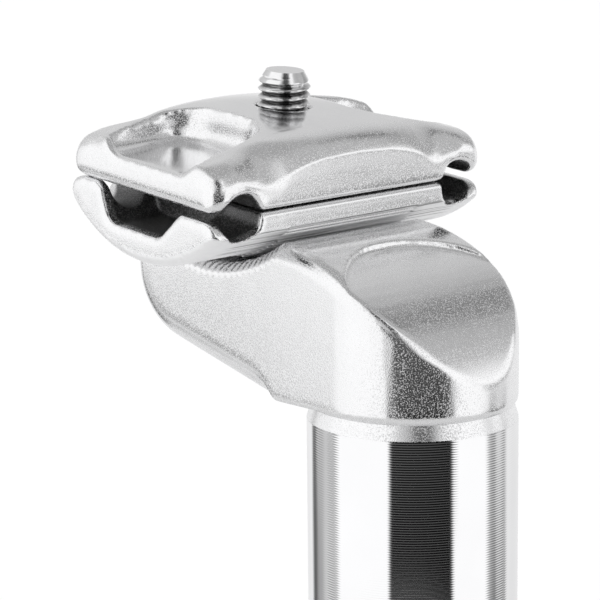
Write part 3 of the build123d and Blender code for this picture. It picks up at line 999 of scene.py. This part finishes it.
def thread_radius(height):
    """Radius of the thread at a height, by angle: a helix that fades in and ends in a cone."""
    fade = min(1.0, max(0.0, (height - THREAD_START) / THREAD_RUN_OUT))
    over = max(0.0, height - (BOLT_TIP - BOLT_TIP_CONE))
    cone = THREAD_CREST - (THREAD_CREST - BOLT_TIP_RADIUS) * over / BOLT_TIP_CONE

    def radius(angle):
        phase = (height / THREAD_PITCH - angle / (2 * math.pi)) % 1.0
        tooth = (abs(2 * phase - 1) - THREAD_FLAT) / (1 - 2 * THREAD_FLAT)
        depth = 1 - min(1.0, max(0.0, tooth))
        return min(cone, THREAD_CREST - (THREAD_CREST - THREAD_ROOT) * depth * fade)

    return radius


def threaded_bolt(material):
    """An M8 socket-head bolt with a real helical thread up to its chamfered tip."""
    floor = BOLT_HEAD_END + HEX_DEPTH
    outline = [
        (BOLT_CENTRE, floor + HEX_CONE),
        (hexagon, floor),
        (hexagon, BOLT_HEAD_END + HEX_CHAMFER),
        (lambda angle: hexagon(angle) + HEX_FLARE, BOLT_HEAD_END),
    ]
    for inset, lift in BOLT_HEAD_RIM:
        outline.append((BOLT_HEAD_RADIUS - inset, BOLT_HEAD_END + lift))
    outline += [
        (BOLT_HEAD_RADIUS, BOLT_HEAD_TOP - BOLT_HEAD_BEVEL),
        (BOLT_HEAD_RADIUS - BOLT_HEAD_BEVEL, BOLT_HEAD_TOP),
        (THREAD_CREST, BOLT_HEAD_TOP),
        (THREAD_CREST, THREAD_START - THREAD_LEAD),
    ]
    threaded = BOLT_TIP - THREAD_START
    rows = int(threaded / THREAD_PITCH * THREAD_STEPS)
    for row in range(rows + 1):
        height = THREAD_START + threaded * row / rows
        outline.append((thread_radius(height), height))
    outline += [(BOLT_TIP_RADIUS - BOLT_TIP_STEP, BOLT_TIP), (BOLT_CENTRE, BOLT_TIP)]
    bolt = Turning(BOLT_AROUND)
    rings = bolt.skin(outline)
    faces = bolt.faces + [tuple(reversed(rings[0])), tuple(rings[-1])]
    verts = from_clamp(np.array(bolt.verts)).tolist()
    piece = add_piece(
        "threaded_bolt", verts, faces, material, "bolt", "clamp_bolt"
    )
    piece.data.set_sharp_from_angle(angle=math.radians(BOLT_SHARP))


# Stage


def add_world():
    """An even grey as light, but seen as white at the horizon and grey overhead."""
    world = bpy.data.worlds.new("studio")
    world.use_nodes = True
    graph = Graph(world.node_tree)
    shown = world.node_tree.nodes["Background"]
    direction = graph.node("ShaderNodeTexCoord").outputs["Generated"]
    sky = graph.ramp(graph.split(direction)["Z"], SKY_STOPS)
    graph.join(sky, shown.inputs["Color"])
    light = graph.node("ShaderNodeBackground")
    light.inputs["Color"].default_value = grey(FILL_LEVEL)
    path = graph.node("ShaderNodeLightPath").outputs
    seen = graph.math("ADD", path["Is Camera Ray"], path["Is Glossy Ray"])
    seen = graph.math("ADD", seen, path["Is Transmission Ray"], clamp=True)
    mix = graph.node("ShaderNodeMixShader")
    graph.join(seen, mix.inputs[0])
    graph.join(light.outputs[0], mix.inputs[1])
    graph.join(shown.outputs[0], mix.inputs[2])
    graph.join(mix.outputs[0], world.node_tree.nodes["World Output"].inputs["Surface"])
    bpy.context.scene.world = world


def add_key():
    """A soft lamp from above that gives the floor the object's shadow."""
    data = bpy.data.lights.new("key", "SUN")
    data.angle = math.radians(KEY_SPREAD)
    data.energy = (FLOOR_LEVEL - FILL_LEVEL) * math.pi / math.sin(math.radians(KEY_HEIGHT))
    key = bpy.data.objects.new("key", data)
    key.rotation_euler = (math.radians(90 - KEY_HEIGHT), 0.0, math.radians(KEY_TURN))
    key.visible_glossy = False
    bpy.context.scene.collection.objects.link(key)


def add_floor():
    """A plain matt white floor just under the object."""
    signs = ((-1, -1), (1, -1), (1, 1), (-1, 1))
    corners = [(FLOOR_SIZE * x, FLOOR_SIZE * y, FLOOR_HEIGHT) for x, y in signs]
    floor = new_object("floor", corners, [(0, 1, 2, 3)])
    material = bpy.data.materials.new("floor")
    material.use_nodes = True
    shader = material.node_tree.nodes["Principled BSDF"]
    shader.inputs["Base Color"].default_value = (1.0, 1.0, 1.0, 1.0)
    shader.inputs["Roughness"].default_value = 1.0
    shader.inputs["Specular IOR Level"].default_value = 0.0
    floor.data.materials.append(material)


def add_reflected(name, verts, faces, place, tone_of):
    """A glowing stage object that only reflections see; tone_of gives its colour in a graph."""
    card = new_object(name, verts, faces)
    card.location = place
    material = bpy.data.materials.new(name)
    material.use_nodes = True
    material.cycles.emission_sampling = "NONE"
    graph = Graph(material.node_tree)
    glow = graph.node("ShaderNodeEmission")
    graph.feed(glow.inputs["Color"], tone_of(graph))
    output = material.node_tree.nodes["Material Output"]
    graph.join(glow.outputs[0], output.inputs["Surface"])
    card.data.materials.append(material)
    card.visible_camera = False
    card.visible_diffuse = False
    card.visible_shadow = False


def tent_tone(graph):
    """The tent's bands and cards, by the direction from its centre."""
    unit = graph.node("ShaderNodeVectorMath", operation="NORMALIZE")
    graph.join(graph.node("ShaderNodeTexCoord").outputs["Object"], unit.inputs[0])
    direction = unit.outputs[0]
    east, north, height = graph.split(direction)
    turn = graph.math("ARCTAN2", east, graph.product(north, -1.0))
    turn = graph.math("MULTIPLY_ADD", turn, 1 / (2 * math.pi), 0.5)

    def above(elevations):
        return graph.rise(height, [math.sin(math.radians(angle)) for angle in elevations])

    tone = grey(TENT_BASE)
    for stops, elevations in TENT_BANDS:
        band = graph.ramp(turn, [((angle + 180) / 360, level) for angle, level in stops])
        tone = graph.mix(above(elevations), tone, band)
    tone = graph.mix(above(TENT_TOP_FADE), tone, grey(TENT_TOP))
    for azimuth, elevation, inner, outer, level in TENT_CARDS:
        turned, raised = math.radians(azimuth), math.radians(elevation)
        flat = math.cos(raised)
        middle = (flat * math.sin(turned), -flat * math.cos(turned), math.sin(raised))
        edge = [math.cos(math.radians(angle)) for angle in (outer, inner)]
        near = graph.rise(graph.dot(direction, middle), edge)
        tone = graph.mix(near, tone, grey(level))
    return tone


def add_tent():
    """A soft light tent with a dark slot for the camera."""
    outline = []
    for row in range(TENT_ROWS + 1):
        elevation = TENT_BOTTOM + (TENT_CROWN - TENT_BOTTOM) * row / TENT_ROWS
        raised = math.radians(elevation)
        outline.append((TENT_RADIUS * math.cos(raised), TENT_RADIUS * math.sin(raised)))
    tent = Turning(TENT_AROUND)
    top = tent.skin(outline)[-1]
    add_reflected("light_tent", tent.verts, tent.faces + [tuple(top)], TENT_CENTRE, tent_tone)


def add_card():
    """A pale grey card on the table under the post."""
    card = Turning(CARD_AROUND)
    face = tuple(card.ring(CARD_RADIUS, 0.0))
    place = (0.0, 0.0, CARD_HEIGHT)
    add_reflected("table_card", card.verts, [face], place, lambda graph: grey(CARD_LEVEL))


bpy.context.scene.view_settings.view_transform = "Standard"
steel = bolt_steel()
washer = nodes["bolt_washer"].data
washer.materials.clear()
washer.materials.append(steel)
soft_upper(upper_aluminium())
soft_lower(lower_aluminium())
soft_head(head_aluminium())
turned_tube(tube_aluminium())
threaded_bolt(steel)
add_camera()
add_world()
add_key()
add_floor()
add_tent()
add_card()
